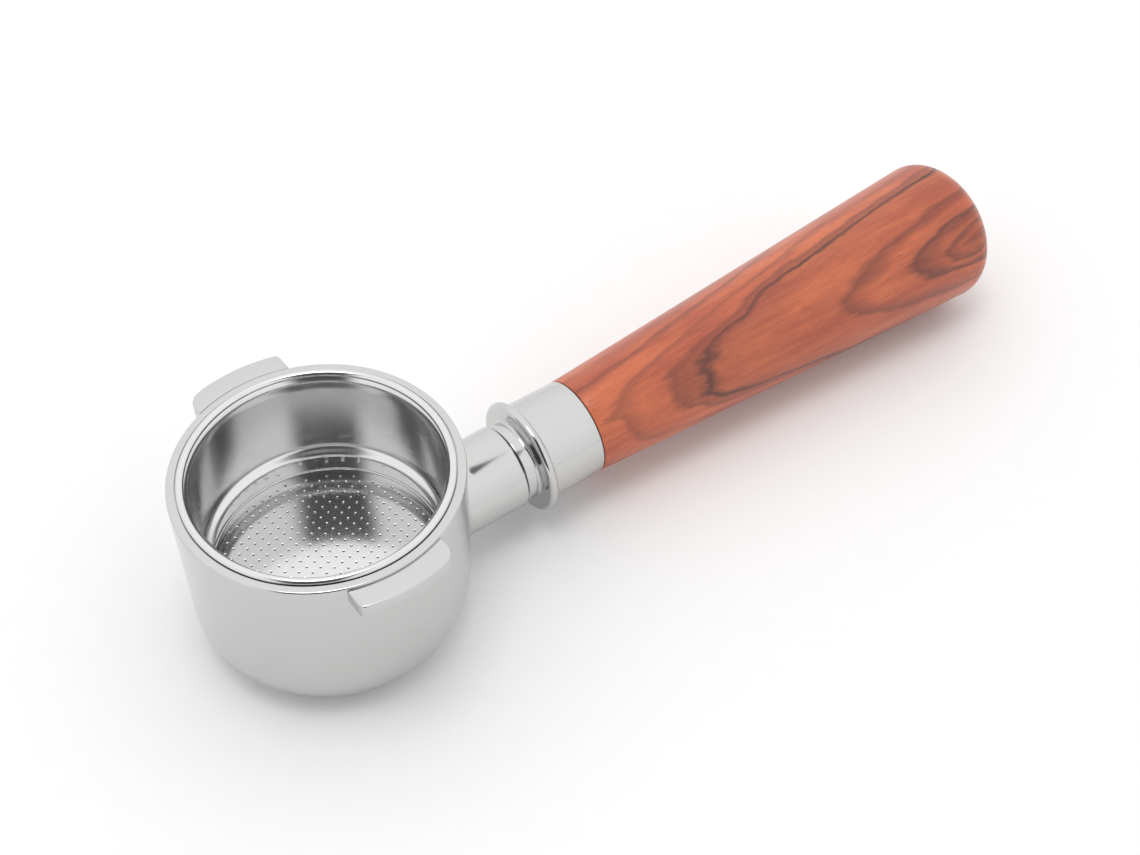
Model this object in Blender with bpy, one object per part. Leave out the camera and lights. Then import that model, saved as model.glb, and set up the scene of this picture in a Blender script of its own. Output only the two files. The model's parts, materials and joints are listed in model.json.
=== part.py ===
"""A two-lug bottomless portafilter with a turned wooden handle.

Units are metres. The origin is the centre of the ring's top face, +Z is up and the handle points
along +X, rising by HANDLE_TILT.
"""

import math

import bmesh
import bpy
from mathutils import Matrix

MM = 0.001
ARC_TOLERANCE = 0.02 * MM         # how far a flat step of an arc may stand off the true curve
SMOOTH_ANGLE = 35.0               # degrees, past which an edge is shaded sharp
CUT_PAST = 2.0 * MM               # how far a cutter runs past the face it opens
DRILL_POINT = 0.5                 # depth of a drilled hole's cone as a share of its radius

SEAT_GAP = 0.3 * MM               # between pieces that rest on each other
THREAD_CLEARANCE = 0.3 * MM       # between a plain stud and the plain hole that stands for its thread

# Filter basket
BASKET_MOUTH_RADIUS = 25.7 * MM
BASKET_DEPTH = 27.6 * MM          # top face of the ring to the inside of the floor
BASKET_SHEET = 0.6 * MM
BASKET_DRAFT = 1.0 * MM           # how much narrower the wall is at the floor
BASKET_LIP_WIDTH = 1.6 * MM
BASKET_LIP_RISE = 0.8 * MM        # lip above the ring's top face
BASKET_LIP_HEIGHT = 1.5 * MM
BASKET_STEP = 0.4 * MM            # how far the wall stands inside the lip's inner edge
BASKET_STEP_DROP = 1.0 * MM       # depth at which the wall reaches that step
BASKET_CORNER = 1.6 * MM
BASKET_CLEARANCE = 0.4 * MM       # between the basket's wall and the bore
RIDGE_RISE = 5.8 * MM             # inside of the floor to the middle of the retaining ridge
RIDGE_DEPTH = 1.7 * MM
RIDGE_HALF_WIDTH = 1.7 * MM
RIDGE_STEPS = 6

# Ring (the cast body that the group head locks onto)
RIM_WIDTH = 1.65 * MM             # top face outside the basket's lip seat
RIM_EDGE = 0.4 * MM               # rounding of the top face's outer edge
RING_TAPER = 0.45 * MM            # how much narrower the wall is where the foot's curve starts
RING_CURVE = 14.6 * MM            # radius of the curved foot
RING_TRIM = 2.3 * MM              # height cut off the foot, below which its curve would turn flat
RING_SKIRT = 15.4 * MM            # ring below the inside of the basket's floor
RING_WALL = 2.6 * MM
OUTLET_INSET = 8.8 * MM           # outlet's edge inside the foot's largest radius
RING_STEPS = 48

# Retaining spring
SPRING_WIRE = 1.0 * MM            # wire diameter
SPRING_SIDES = 3                  # inward bends, level with the basket's ridge
SPRING_CLEARANCE = 0.3 * MM       # from the spread spring's bends to the basket's wall
SPRING_MOUTH = 24.0               # degrees left open between the ends
SPRING_STEPS = 48
SPRING_GROOVE_DEPTH = 0.9 * MM

# Lugs
LUG_STAND = 4.75 * MM             # from the ring's outer wall to a lug's outer face
LUG_WIDTH = 21.0 * MM
LUG_THICKNESS = 3.5 * MM
LUG_DROP = 0.5 * MM               # top face of the ring to a lug's top face
LUG_TURN = 1.5                    # degrees that the lugs are turned past square to the handle
LUG_LEAD_CORNER = 1.0 * MM
LUG_TRAIL_CORNER = 2.6 * MM

# Neck and handle line
HANDLE_RISE = 14.35 * MM          # base of the ring to the handle's axis, at the ring's axis
HANDLE_TILT = 1.0                 # degrees
NECK_RADIUS = 9.55 * MM
NECK_LENGTH = 14.35 * MM          # from the ring's outer wall to the neck's end face
NECK_ROOT = 5.0 * MM              # how far the neck reaches inside the bore before the bore is cut
NECK_EDGE = 0.5 * MM
HANDLE_STEPS = 32

# Fixing inside the handle
STUD_RADIUS = 5.0 * MM
STUD_GRIP = 13.0 * MM             # length of stud screwed into the neck
STUD_EDGE = 0.6 * MM
STUD_END_GAP = 0.5 * MM           # from the stud's end to the floor of the insert's blind hole
INSERT_WALL = 1.7 * MM
INSERT_LENGTH = 22.0 * MM
INSERT_FLOOR = 1.5 * MM
BORE_STEPS = 32

# Wooden handle
WOOD_LENGTH = 113.6 * MM
WOOD_GROWTH = 5.95 * MM           # radius gained from the ferrule to the widest point
WOOD_DOME = 8.8 * MM              # length of the rounded end
WOOD_DOME_POWER = 2.2
WOOD_DOME_STEPS = 9
WOOD_EDGE = 0.3 * MM              # broken edge at the ferrule
TENON_WALL = 1.9 * MM             # wood around the insert
TENON_LENGTH = 9.0 * MM

# Ferrule
HUB_INSET = 0.65 * MM             # hub's surface below the neck's
HUB_LENGTH = 3.0 * MM
FLANGE_STAND = 1.6 * MM           # flange's edge above the sleeve's front end
FLANGE_THICKNESS = 2.2 * MM
SLEEVE_LENGTH = 12.9 * MM
SLEEVE_WALL = 1.6 * MM            # at the rear end
SLEEVE_TAPER = 0.3 * MM           # how much wider the sleeve is at its front end
FERRULE_FILLET = 0.7 * MM
WASHER_THICKNESS = 0.5 * MM
WASHER_INSET = 0.25 * MM          # seam washer below the ferrule's surface

# Sizes that follow from those above
LIP_RADIUS = BASKET_MOUTH_RADIUS + BASKET_LIP_WIDTH
RING_RADIUS = LIP_RADIUS + SEAT_GAP + RIM_WIDTH
RING_HEIGHT = BASKET_DEPTH + RING_SKIRT
RIDGE_DROP = BASKET_DEPTH - RIDGE_RISE
OUTLET_RADIUS = RING_RADIUS - RING_TAPER - OUTLET_INSET
LUG_REACH = RING_RADIUS + LUG_STAND
NECK_END = RING_RADIUS + NECK_LENGTH
HANDLE_DROP = RING_HEIGHT - HANDLE_RISE
THREAD_HOLE_RADIUS = STUD_RADIUS + THREAD_CLEARANCE
INSERT_RADIUS = THREAD_HOLE_RADIUS + INSERT_WALL
INSERT_BORE_RADIUS = INSERT_RADIUS + SEAT_GAP
TENON_RADIUS = INSERT_BORE_RADIUS + TENON_WALL
POCKET_RADIUS = TENON_RADIUS + SEAT_GAP
SLEEVE_REAR_RADIUS = POCKET_RADIUS + SLEEVE_WALL
SLEEVE_FRONT_RADIUS = SLEEVE_REAR_RADIUS + SLEEVE_TAPER
FLANGE_RADIUS = SLEEVE_FRONT_RADIUS + FLANGE_STAND
FERRULE_START = NECK_END + SEAT_GAP
FERRULE_END = FERRULE_START + HUB_LENGTH + FLANGE_THICKNESS + SLEEVE_LENGTH
POCKET_FLOOR = FERRULE_END - TENON_LENGTH
TENON_START = POCKET_FLOOR + SEAT_GAP      # the insert starts level with the tenon's end
WOOD_START = FERRULE_END + 2 * SEAT_GAP + WASHER_THICKNESS

BODY_COLOUR = (0.80, 0.80, 0.80, 1)
STEEL_COLOUR = (0.72, 0.72, 0.72, 1)
BRASS_COLOUR = (0.80, 0.62, 0.28, 1)
RUBBER_COLOUR = (0.03, 0.03, 0.03, 1)
WOOD_COLOUR = (0.50, 0.16, 0.07, 1)


def clear_scene():
    for item in list(bpy.data.objects):
        bpy.data.objects.remove(item, do_unlink=True)


def make_material(name, colour, roughness, metallic):
    material = bpy.data.materials.new(name)
    material.use_nodes = True
    shader = material.node_tree.nodes["Principled BSDF"]
    shader.inputs["Base Color"].default_value = colour
    shader.inputs["Roughness"].default_value = roughness
    shader.inputs["Metallic"].default_value = metallic
    return material


def arc(centre, radius, start, end):
    """Points (r, z) along an arc, with angles in degrees from +r towards +z."""
    widest_step = 2 * math.degrees(math.acos(max(0, 1 - ARC_TOLERANCE / radius)))
    count = max(2, math.ceil(abs(end - start) / widest_step))
    points = []
    for step in range(count + 1):
        angle = math.radians(start + (end - start) * step / count)
        points.append((centre[0] + radius * math.cos(angle), centre[1] + radius * math.sin(angle)))
    return points


def add_object(name, mesh, material, parent=None):
    item = bpy.data.objects.new(name, mesh)
    bpy.context.collection.objects.link(item)
    if material:
        mesh.materials.append(material)
    item.parent = parent
    return item


def turned_mesh(name, profile, steps):
    """Revolves (r, z) points about Z. A profile that starts and ends on the axis is left open there."""
    on_axis = profile[0][0] < 1e-9 and profile[-1][0] < 1e-9
    mesh = bpy.data.meshes.new(name)
    shape = bmesh.new()
    rings = []
    for radius, height in profile:
        if radius < 1e-9:
            rings.append([shape.verts.new((0, 0, height))])
            continue
        ring = []
        for step in range(steps):
            angle = 2 * math.pi * step / steps
            ring.append(shape.verts.new((radius * math.cos(angle), radius * math.sin(angle), height)))
        rings.append(ring)
    pairs = list(zip(rings, rings[1:]))
    if not on_axis:
        pairs.append((rings[-1], rings[0]))
    for lower, upper in pairs:
        for step in range(steps):
            corners = [lower[step % len(lower)], lower[(step + 1) % len(lower)],
                       upper[(step + 1) % len(upper)], upper[step % len(upper)]]
            corners = list(dict.fromkeys(corners))
            if len(corners) > 2:
                shape.faces.new(corners)
    bmesh.ops.recalc_face_normals(shape, faces=shape.faces)
    shape.to_mesh(mesh)
    shape.free()
    return mesh


def turned(name, profile, material, steps=HANDLE_STEPS, parent=None):
    item = add_object(name, turned_mesh(name, profile, steps), material, parent)
    item.data.shade_smooth()
    item.data.set_sharp_from_angle(angle=math.radians(SMOOTH_ANGLE))
    return item


def helper(item):
    """Keeps a cutter or an added shape out of the finished object."""
    item.hide_render = True
    item.display_type = "WIRE"
    return item


def boolean(target, other, operation):
    modifier = target.modifiers.new(other.name, "BOOLEAN")
    modifier.operation = operation
    modifier.solver = "EXACT"
    modifier.object = other
    return modifier


def rounded_lug_outline():
    """Plan of one lug, pointing along +X: an arc outside, parallel ends and two rounded corners."""
    half = LUG_WIDTH / 2
    points = []
    for side, corner in ((-1, LUG_LEAD_CORNER), (1, LUG_TRAIL_CORNER)):
        reach = LUG_REACH - corner
        centre_y = half - corner
        centre_x = math.sqrt(reach * reach - centre_y * centre_y)
        outer_angle = math.degrees(math.atan2(centre_y, centre_x))
        corner_points = arc((centre_x, centre_y), corner, 90, outer_angle)
        points.append([(x, side * y) for x, y in corner_points])
    first, last = points
    root = RING_RADIUS - RING_WALL / 2
    start = math.degrees(math.atan2(first[-1][1], first[-1][0]))
    end = math.degrees(math.atan2(last[-1][1], last[-1][0]))
    outside = arc((0, 0), LUG_REACH, start, end)[1:-1]
    inside_x = math.sqrt(root * root - half * half)
    return [(inside_x, -half)] + first + outside + last[::-1] + [(inside_x, half)]


def lug(name, turn):
    """One lug as a closed slab, turned about the ring's axis by an angle in degrees."""
    shape = bmesh.new()
    top = -LUG_DROP
    corners = [shape.verts.new((x, y, top - LUG_THICKNESS)) for x, y in rounded_lug_outline()]
    base = shape.faces.new(corners)
    grown = bmesh.ops.extrude_face_region(shape, geom=[base])
    moved = [part for part in grown["geom"] if isinstance(part, bmesh.types.BMVert)]
    bmesh.ops.translate(shape, vec=(0, 0, LUG_THICKNESS), verts=moved)
    bmesh.ops.rotate(shape, cent=(0, 0, 0), matrix=Matrix.Rotation(math.radians(turn), 3, "Z"),
                     verts=shape.verts)
    bmesh.ops.recalc_face_normals(shape, faces=shape.faces)
    mesh = bpy.data.meshes.new(name)
    shape.to_mesh(mesh)
    shape.free()
    return helper(add_object(name, mesh, None))


def ring_section():
    """Outside of the ring as a solid turned shape, top to bottom."""
    curve_centre = (RING_RADIUS - RING_TAPER - RING_CURVE, foot_curve_height())
    points = [(0, 0)]
    points += arc((RING_RADIUS - RIM_EDGE, -RIM_EDGE), RIM_EDGE, 90, 0)
    foot_angle = math.degrees(math.asin((RING_HEIGHT + curve_centre[1]) / RING_CURVE))
    points += arc(curve_centre, RING_CURVE, 0, -foot_angle)
    points.append((0, -RING_HEIGHT))
    return points


def foot_curve_height():
    """Height of the centre of the foot's curves, outside and inside."""
    return RING_CURVE - RING_HEIGHT - RING_TRIM


def basket_outer_radius(drop):
    """Outside of the basket's wall at a distance below the ring's top face."""
    return BASKET_MOUTH_RADIUS - BASKET_STEP + BASKET_SHEET - BASKET_DRAFT * drop / BASKET_DEPTH


def bore_radius():
    return basket_outer_radius(0) + BASKET_CLEARANCE


def bore_section():
    """The hollow of the ring: lip seat, bore, spring groove and curved outlet."""
    seat_radius = LIP_RADIUS + SEAT_GAP
    seat_drop = BASKET_LIP_HEIGHT - BASKET_LIP_RISE + SEAT_GAP
    bore = bore_radius()
    groove = bore + SPRING_GROOVE_DEPTH
    groove_half = SPRING_WIRE / 2 + SEAT_GAP
    inner_curve = RING_CURVE - RING_WALL
    curve_centre = (bore - inner_curve, foot_curve_height())
    outlet_angle = math.degrees(math.acos((OUTLET_RADIUS - curve_centre[0]) / inner_curve))
    points = [(0, CUT_PAST), (seat_radius, CUT_PAST), (seat_radius, -seat_drop), (bore, -seat_drop)]
    points += [(bore, -RIDGE_DROP + groove_half), (groove, -RIDGE_DROP + groove_half)]
    points += [(groove, -RIDGE_DROP - groove_half), (bore, -RIDGE_DROP - groove_half)]
    points += arc(curve_centre, inner_curve, 0, -outlet_angle)
    points += [(OUTLET_RADIUS, -RING_HEIGHT - CUT_PAST), (0, -RING_HEIGHT - CUT_PAST)]
    return points


def neck_section():
    """Neck, along the handle's axis from inside the ring's wall to its end face."""
    root = bore_radius() - NECK_ROOT
    points = [(0, root), (NECK_RADIUS, root)]
    points += arc((NECK_RADIUS - NECK_EDGE, NECK_END - NECK_EDGE), NECK_EDGE, 0, 90)
    points.append((0, NECK_END))
    return points


def socket_section():
    """Blind hole in the neck for the stud."""
    point = THREAD_HOLE_RADIUS * DRILL_POINT
    floor = NECK_END - STUD_GRIP - SEAT_GAP
    mouth = NECK_END + CUT_PAST
    return [(0, floor - point), (THREAD_HOLE_RADIUS, floor), (THREAD_HOLE_RADIUS, mouth), (0, mouth)]


def make_ring(material, handle_line):
    ring = turned("portafilter_body", ring_section(), material, RING_STEPS)
    neck = helper(turned("neck_shape", neck_section(), None, parent=handle_line))
    boolean(ring, neck, "UNION")
    for name, side in (("lug_shape_left", 90), ("lug_shape_right", -90)):
        boolean(ring, lug(name, side + LUG_TURN), "UNION")
    hollow = helper(turned("hollow_shape", bore_section(), None, RING_STEPS))
    boolean(ring, hollow, "DIFFERENCE")
    socket = helper(turned("socket_shape", socket_section(), None, BORE_STEPS, handle_line))
    boolean(ring, socket, "DIFFERENCE")
    return ring


def basket_section():
    """Sheet of the basket as a closed section: outside from the floor up, over the lip, inside down."""
    def wall(drop, inside):
        return (basket_outer_radius(drop) - (BASKET_SHEET if inside else 0), -drop)

    def ridge(inside):
        points = []
        for step in range(RIDGE_STEPS + 1):
            across = -1 + 2 * step / RIDGE_STEPS
            drop = RIDGE_DROP + across * RIDGE_HALF_WIDTH
            depth = RIDGE_DEPTH * (1 + math.cos(math.pi * across)) / 2
            radius, height = wall(drop, inside)
            points.append((radius - depth, height))
        return points

    floor_out = BASKET_DEPTH + BASKET_SHEET
    corner_out = wall(floor_out, False)[0] - BASKET_CORNER
    outside = [(0, -floor_out)] + arc((corner_out, -floor_out + BASKET_CORNER), BASKET_CORNER, -90, 0)
    outside += ridge(False)[::-1]
    outside.append(wall(BASKET_LIP_HEIGHT - BASKET_LIP_RISE, False))
    roll = BASKET_LIP_WIDTH / 2
    lip_floor = BASKET_LIP_RISE - BASKET_LIP_HEIGHT
    lip = [(LIP_RADIUS, lip_floor)]
    lip += arc((LIP_RADIUS - roll, BASKET_LIP_RISE - roll), roll, 0, 180)
    corner_in = BASKET_CORNER - BASKET_SHEET
    inside = [wall(BASKET_STEP_DROP, True)] + ridge(True)
    inside += arc((corner_out, -BASKET_DEPTH + corner_in), corner_in, 0, -90)
    inside.append((0, -BASKET_DEPTH))
    return outside + lip + inside


def make_basket(material):
    return turned("filter_basket", basket_section(), material, RING_STEPS)


def make_spring(material):
    """Open ring of round wire in the ring's groove, drawn spread so that the basket passes its bends."""
    run = bore_radius() + SPRING_GROOVE_DEPTH - SEAT_GAP - SPRING_WIRE / 2
    reach = run - SPRING_WIRE / 2 - basket_outer_radius(RIDGE_DROP) - SPRING_CLEARANCE
    curve = bpy.data.curves.new("basket_retaining_spring", "CURVE")
    curve.dimensions = "3D"
    curve.bevel_depth = SPRING_WIRE / 2
    curve.bevel_resolution = 2
    curve.use_fill_caps = True
    line = curve.splines.new("POLY")
    line.points.add(SPRING_STEPS)
    for step in range(SPRING_STEPS + 1):
        share = step / SPRING_STEPS
        angle = math.radians(SPRING_MOUTH / 2 + (360 - SPRING_MOUTH) * share)
        bend = max(0, -math.cos(2 * math.pi * SPRING_SIDES * share)) ** 2
        radius = run - reach * bend
        line.points[step].co = (radius * math.cos(angle), radius * math.sin(angle), -RIDGE_DROP, 1)
    curve.materials.append(material)
    spring = bpy.data.objects.new("basket_retaining_spring", curve)
    bpy.context.collection.objects.link(spring)
    return spring


def make_ferrule(material, parent):
    """Hub, thin flange and sleeve in one turned piece, bored for the stud and for the wood's tenon."""
    flange = FERRULE_START + HUB_LENGTH
    sleeve = flange + FLANGE_THICKNESS
    hub_radius = NECK_RADIUS - HUB_INSET
    edge = FLANGE_THICKNESS / 2
    fillet = FERRULE_FILLET
    points = [(THREAD_HOLE_RADIUS, FERRULE_START), (hub_radius, FERRULE_START)]
    points += arc((hub_radius + fillet, flange - fillet), fillet, 180, 90)
    points += arc((FLANGE_RADIUS - edge, flange + edge), edge, -90, 90)
    points += arc((SLEEVE_FRONT_RADIUS + fillet, sleeve + fillet), fillet, -90, -180)
    points += [(SLEEVE_REAR_RADIUS, FERRULE_END), (POCKET_RADIUS, FERRULE_END)]
    points += [(POCKET_RADIUS, POCKET_FLOOR), (THREAD_HOLE_RADIUS, POCKET_FLOOR)]
    return turned("handle_ferrule", points, material, parent=parent)


def make_washer(material, parent):
    """Thin washer that closes the seam between the ferrule and the wood."""
    start = FERRULE_END + SEAT_GAP
    end = start + WASHER_THICKNESS
    outer = SLEEVE_REAR_RADIUS - WASHER_INSET
    points = [(POCKET_RADIUS, start), (outer, start), (outer, end), (POCKET_RADIUS, end)]
    return turned("seam_washer", points, material, parent=parent)


def make_wood(material, parent):
    """Tapered handle with a rounded end, a tenon at the front and a blind bore for the insert."""
    end = WOOD_START + WOOD_LENGTH
    widest = end - WOOD_DOME
    wide = SLEEVE_REAR_RADIUS + WOOD_GROWTH
    bore = INSERT_BORE_RADIUS
    bore_floor = TENON_START + INSERT_LENGTH + SEAT_GAP
    points = [(0, bore_floor + bore * DRILL_POINT), (bore, bore_floor), (bore, TENON_START)]
    points += [(TENON_RADIUS, TENON_START), (TENON_RADIUS, WOOD_START)]
    points += [(SLEEVE_REAR_RADIUS - WOOD_EDGE, WOOD_START), (SLEEVE_REAR_RADIUS, WOOD_START + WOOD_EDGE)]
    points.append((wide, widest))
    for step in range(1, WOOD_DOME_STEPS + 1):
        turn = math.pi / 2 * step / (WOOD_DOME_STEPS + 1)
        points.append((wide * math.cos(turn) ** (2 / WOOD_DOME_POWER),
                       widest + WOOD_DOME * math.sin(turn) ** (2 / WOOD_DOME_POWER)))
    points.append((0, end))
    return turned("wood_handle", points, material, parent=parent)


def make_stud(material, parent):
    """Threaded rod, shown at its outside diameter, from the neck's socket into the insert."""
    start = NECK_END - STUD_GRIP
    end = TENON_START + INSERT_LENGTH - INSERT_FLOOR - STUD_END_GAP
    points = [(0, start), (STUD_RADIUS - STUD_EDGE, start), (STUD_RADIUS, start + STUD_EDGE)]
    points += [(STUD_RADIUS, end - STUD_EDGE), (STUD_RADIUS - STUD_EDGE, end), (0, end)]
    return turned("threaded_stud", points, material, BORE_STEPS, parent)


def make_insert(material, parent):
    """Threaded insert in the wood, with a blind hole for the stud."""
    end = TENON_START + INSERT_LENGTH
    floor = end - INSERT_FLOOR
    points = [(0, end), (INSERT_RADIUS, end), (INSERT_RADIUS, TENON_START)]
    points += [(THREAD_HOLE_RADIUS, TENON_START), (THREAD_HOLE_RADIUS, floor), (0, floor)]
    return turned("threaded_insert", points, material, BORE_STEPS, parent)


def add_handle_line():
    """Empty on the handle's axis, with its local Z pointing out along the handle."""
    line = bpy.data.objects.new("handle_line", None)
    bpy.context.collection.objects.link(line)
    line.location = (0, 0, -HANDLE_DROP)
    line.rotation_euler = (0, math.radians(90 - HANDLE_TILT), 0)
    return line


def main():
    clear_scene()
    plated = make_material("plated_brass", BODY_COLOUR, 0.25, 1.0)
    basket_steel = make_material("basket_steel", STEEL_COLOUR, 0.2, 1.0)
    spring_steel = make_material("spring_steel", STEEL_COLOUR, 0.35, 1.0)
    ferrule_chrome = make_material("ferrule_chrome", BODY_COLOUR, 0.08, 1.0)
    stud_steel = make_material("stud_steel", STEEL_COLOUR, 0.4, 1.0)
    brass = make_material("brass", BRASS_COLOUR, 0.35, 1.0)
    rubber = make_material("seam_rubber", RUBBER_COLOUR, 0.8, 0.0)
    wood = make_material("rosewood", WOOD_COLOUR, 0.3, 0.0)
    handle_line = add_handle_line()
    make_ring(plated, handle_line)
    make_basket(basket_steel)
    make_spring(spring_steel)
    make_ferrule(ferrule_chrome, handle_line)
    make_washer(rubber, handle_line)
    make_wood(wood, handle_line)
    make_stud(stud_steel, handle_line)
    make_insert(brass, handle_line)


main()
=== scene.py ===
import json
import math

import bmesh
import bpy
from mathutils import Euler, Matrix, Quaternion, Vector


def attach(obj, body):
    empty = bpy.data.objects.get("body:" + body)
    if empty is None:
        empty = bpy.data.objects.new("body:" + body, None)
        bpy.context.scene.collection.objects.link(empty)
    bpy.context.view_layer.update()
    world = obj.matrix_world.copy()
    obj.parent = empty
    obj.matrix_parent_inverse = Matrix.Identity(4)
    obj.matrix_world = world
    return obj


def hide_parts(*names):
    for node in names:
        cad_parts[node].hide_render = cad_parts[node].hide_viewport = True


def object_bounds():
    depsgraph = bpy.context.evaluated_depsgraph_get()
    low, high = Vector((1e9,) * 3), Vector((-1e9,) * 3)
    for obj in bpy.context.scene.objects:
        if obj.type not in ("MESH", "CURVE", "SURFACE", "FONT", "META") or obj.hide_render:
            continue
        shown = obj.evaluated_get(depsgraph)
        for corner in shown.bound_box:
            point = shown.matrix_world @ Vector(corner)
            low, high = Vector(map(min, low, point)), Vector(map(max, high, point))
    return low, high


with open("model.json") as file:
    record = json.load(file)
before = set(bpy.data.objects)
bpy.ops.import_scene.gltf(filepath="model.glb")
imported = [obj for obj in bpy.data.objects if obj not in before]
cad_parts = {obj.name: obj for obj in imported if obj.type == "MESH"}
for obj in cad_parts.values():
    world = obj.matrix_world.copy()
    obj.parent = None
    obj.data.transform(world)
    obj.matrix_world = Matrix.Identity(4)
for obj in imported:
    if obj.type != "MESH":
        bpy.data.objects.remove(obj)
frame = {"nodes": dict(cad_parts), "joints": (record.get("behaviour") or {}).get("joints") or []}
cadBox = [list(corner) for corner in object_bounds()]

mm = 0.001
smoothAngle = math.radians(32)
turnJoint = next(joint for joint in frame["joints"] if joint["name"] == "handle_turn")
handleStart = Vector(turnJoint["pos_m"])
handleAxis = Vector(turnJoint["axis"]).normalized()
handleTilt = math.asin(handleAxis.z)
counterHeight = cadBox[0][2]  # the part's lowest point
print("frame loaded")


cameraView = {
    "position": (-0.09262, -0.21085, 0.26790),
    "lookAt": (0.06167, 0.00157, -0.01915),
    "rollDegrees": 0.348,
    "lens": 56.71,
    "shiftX": 0.001,
    "shiftY": -0.026,
}


def makeCamera():
    camera = bpy.data.objects.new("camera", bpy.data.cameras.new("camera"))
    bpy.context.scene.collection.objects.link(camera)
    camera.location = cameraView["position"]
    aim = Vector(cameraView["lookAt"]) - camera.location
    roll = Quaternion((0, 0, 1), math.radians(cameraView["rollDegrees"]))
    camera.rotation_euler = (aim.to_track_quat("-Z", "Y") @ roll).to_euler()
    camera.data.lens = cameraView["lens"]
    camera.data.shift_x = cameraView["shiftX"]
    camera.data.shift_y = cameraView["shiftY"]
    camera.data.clip_start = 0.01
    bpy.context.scene.camera = camera


makeCamera()


def deselectAll():
    if bpy.context.mode != "OBJECT":
        bpy.ops.object.mode_set(mode="OBJECT")
    bpy.ops.object.select_all(action="DESELECT")


def selectOnly(piece):
    deselectAll()
    piece.select_set(True)
    bpy.context.view_layer.objects.active = piece


def editMesh(piece):
    selectOnly(piece)
    bpy.ops.object.mode_set(mode="EDIT")
    bpy.ops.mesh.select_all(action="DESELECT")


def selectEdges(piece, wanted):  # edit mode, picks the edges that wanted(edge) accepts
    shape = bmesh.from_edit_mesh(piece.data)
    shape.select_mode = {"EDGE"}
    for edge in shape.edges:
        edge.select_set(wanted(edge))
    shape.select_flush_mode()
    bmesh.update_edit_mesh(piece.data)


def selectVerts(piece, wanted):
    shape = bmesh.from_edit_mesh(piece.data)
    for face in shape.faces:
        face.select = False
    for edge in shape.edges:
        edge.select = False
    for vert in shape.verts:
        vert.select_set(wanted(vert))
    shape.select_flush(True)
    bmesh.update_edit_mesh(piece.data)


def applyPlace(piece):
    selectOnly(piece)
    bpy.ops.object.transform_apply(location=True, rotation=True, scale=True)


def applyModifier(piece, modifier):
    selectOnly(piece)
    bpy.ops.object.modifier_apply(modifier=modifier.name)


def arc(centre, radius, start, end, count):  # (r, z) points, angles in degrees from +r towards +z
    angles = [math.radians(start + (end - start) * step / count) for step in range(count + 1)]
    return [(centre[0] + radius * math.cos(a), centre[1] + radius * math.sin(a)) for a in angles]


def line(start, end, count):  # points after start, up to and with end
    return [(start[0] + (end[0] - start[0]) * step / count, start[1] + (end[1] - start[1]) * step / count)
            for step in range(1, count + 1)]


def turn(name, profile, steps):
    # Turns a closed (r, z) profile in mm about Z: a circle is extruded and scaled from point to point
    deselectAll()
    startsOnAxis, endsOnAxis = profile[0][0] == 0, profile[-1][0] == 0
    middle = profile[int(startsOnAxis):len(profile) - int(endsOnAxis)]
    radius, height = middle[0]
    bpy.ops.mesh.primitive_circle_add(vertices=steps, radius=radius * mm, location=(0, 0, height * mm))
    piece = bpy.context.object
    piece.name = name
    bpy.ops.object.transform_apply(location=True)
    bpy.ops.object.mode_set(mode="EDIT")
    bpy.ops.mesh.select_all(action="SELECT")
    for nextRadius, nextHeight in middle[1:]:
        rise = (0, 0, (nextHeight - height) * mm)
        bpy.ops.mesh.extrude_region_move(TRANSFORM_OT_translate={"value": rise})
        grow = nextRadius / radius
        bpy.ops.transform.resize(value=(grow, grow, 1), center_override=(0, 0, 0))
        radius, height = nextRadius, nextHeight
    if endsOnAxis:
        closeOnAxis(profile[-1][1] - height)
    if startsOnAxis:
        bpy.ops.mesh.select_all(action="DESELECT")
        selectVerts(piece, lambda vert: vert.index < steps)
        closeOnAxis(profile[0][1] - middle[0][1])
    bpy.ops.mesh.select_all(action="SELECT")
    if not startsOnAxis and not endsOnAxis:
        bridgeEnds(piece, steps)
    bpy.ops.mesh.select_all(action="SELECT")
    bpy.ops.mesh.normals_make_consistent(inside=False)
    bpy.ops.object.mode_set(mode="OBJECT")
    return piece


def closeOnAxis(rise):
    bpy.ops.mesh.extrude_region_move(TRANSFORM_OT_translate={"value": (0, 0, rise * mm)})
    bpy.ops.mesh.merge(type="CENTER")


def bridgeEnds(piece, steps):
    count = len(bmesh.from_edit_mesh(piece.data).verts)
    selectVerts(piece, lambda vert: vert.index < steps or vert.index >= count - steps)
    bpy.ops.mesh.bridge_edge_loops()


def roundLoops(piece, loops):  # loops of (radius, height, width, segments) in mm
    editMesh(piece)
    near = 0.02 * mm
    for radius, height, width, segments in loops:
        def onLoop(vert):
            reach = math.hypot(vert.co.x, vert.co.y)
            return abs(reach - radius * mm) < near and abs(vert.co.z - height * mm) < near
        selectEdges(piece, lambda edge: all(onLoop(vert) for vert in edge.verts))
        bpy.ops.mesh.bevel(offset=width * mm, segments=segments, affect="EDGES")
    bpy.ops.object.mode_set(mode="OBJECT")


def boolean(piece, tool, operation):
    modifier = piece.modifiers.new("boolean", "BOOLEAN")
    modifier.operation = operation
    modifier.object = tool
    applyModifier(piece, modifier)
    bpy.data.objects.remove(tool)


def finishMesh(piece, material):
    selectOnly(piece)
    piece.data.materials.clear()
    piece.data.materials.append(material)
    bpy.ops.object.shade_smooth_by_angle(angle=smoothAngle, keep_sharp_edges=True)


def ontoHandle(piece):  # from upright about Z to the handle's line
    piece.location = handleStart
    piece.rotation_euler = (0, math.pi / 2 - handleTilt, 0)
    applyPlace(piece)


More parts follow.
